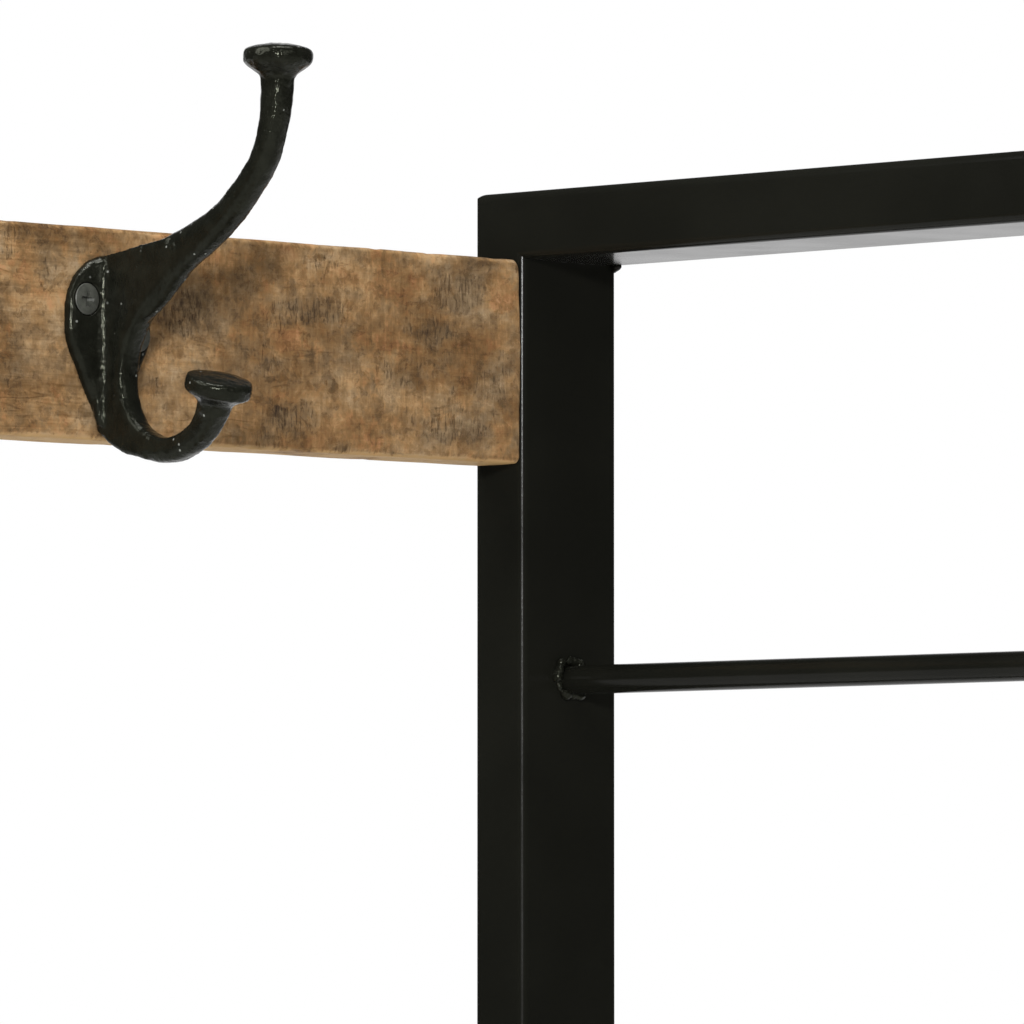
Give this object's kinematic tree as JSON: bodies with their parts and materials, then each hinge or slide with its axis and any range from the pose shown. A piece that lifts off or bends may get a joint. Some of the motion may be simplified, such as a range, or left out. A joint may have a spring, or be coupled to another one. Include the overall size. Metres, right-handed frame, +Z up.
{
  "type": "hall tree",
  "caption": "Open hall tree: black steel side frames joined by a weathered wooden board with cast double hooks, a slatted bench and a slatted shoe shelf on levelling feet.",
  "frame": {"origin": "on the floor under the middle of the hall tree", "axes": "+Z up; the front, where a person sits or reaches the hooks, faces -Y; +X to the right as seen from the front"},
  "size_m": [1.1066, 0.35, 1.8255],
  "materials": {
    "black_steel": "satin black powder coat",
    "cast_hook": "gloss black paint over a sand-cast surface",
    "weathered_wood": "rough sawn and weathered solid wood, oiled",
    "black_hardware": "black oxide",
    "zinc_hardware": "zinc plated",
    "foot_plastic": "fine moulded grain"
  },
  "bodies": {
    "frame": {"left_front_post": "black_steel", "left_back_post": "black_steel", "left_top_rail": "black_steel", "left_bottom_rail": "black_steel", "left_bench_side_rail": "black_steel", "left_shelf_side_rail": "black_steel", "left_upper_rod": "black_steel", "left_guard_rod": "black_steel", "left_shoe_rod": "black_steel", "left_frame_welds": "black_steel", "left_frame_bolts": "black_hardware", "right_front_post": "black_steel", "right_back_post": "black_steel", "right_top_rail": "black_steel", "right_bottom_rail": "black_steel", "right_bench_side_rail": "black_steel", "right_shelf_side_rail": "black_steel", "right_upper_rod": "black_steel", "right_guard_rod": "black_steel", "right_shoe_rod": "black_steel", "right_frame_welds": "black_steel", "right_frame_bolts": "black_hardware", "hook_board": "weathered_wood", "board_barrel_nuts": "zinc_hardware", "hook_screws": "black_hardware", "hook_1": "cast_hook", "hook_2": "cast_hook", "hook_3": "cast_hook", "hook_4": "cast_hook", "hook_5": "cast_hook", "left_wall_bracket": "black_steel", "right_wall_bracket": "black_steel", "wall_bracket_screws": "zinc_hardware", "bench_front_rail": "black_steel", "bench_back_rail": "black_steel", "shelf_front_rail": "black_steel", "shelf_back_rail": "black_steel", "bench_supports": "black_steel", "shelf_supports": "black_steel", "rail_end_plates": "black_steel", "bench_plank_front": "weathered_wood", "bench_plank_middle": "weathered_wood", "bench_plank_back": "weathered_wood", "shelf_plank_front": "weathered_wood", "shelf_plank_middle": "weathered_wood", "shelf_plank_back": "weathered_wood", "bench_plank_screws": "zinc_hardware", "shelf_plank_screws": "zinc_hardware", "foot_inserts": "zinc_hardware"},
    "foot_front_left": {"foot_stud_front_left": "zinc_hardware", "foot_pad_front_left": "foot_plastic"},
    "foot_back_left": {"foot_stud_back_left": "zinc_hardware", "foot_pad_back_left": "foot_plastic"},
    "foot_front_right": {"foot_stud_front_right": "zinc_hardware", "foot_pad_front_right": "foot_plastic"},
    "foot_back_right": {"foot_stud_back_right": "zinc_hardware", "foot_pad_back_right": "foot_plastic"}
  },
  "joints": [
    {"name": "foot_front_left_height", "type": "slide", "parent": "frame", "child": "foot_front_left", "axis": [0, 0, 1], "range_m": [-0.01, 0.002]},
    {"name": "foot_back_left_height", "type": "slide", "parent": "frame", "child": "foot_back_left", "axis": [0, 0, 1], "range_m": [-0.01, 0.002]},
    {"name": "foot_front_right_height", "type": "slide", "parent": "frame", "child": "foot_front_right", "axis": [0, 0, 1], "range_m": [-0.01, 0.002]},
    {"name": "foot_back_right_height", "type": "slide", "parent": "frame", "child": "foot_back_right", "axis": [0, 0, 1], "range_m": [-0.01, 0.002]}
  ]
}
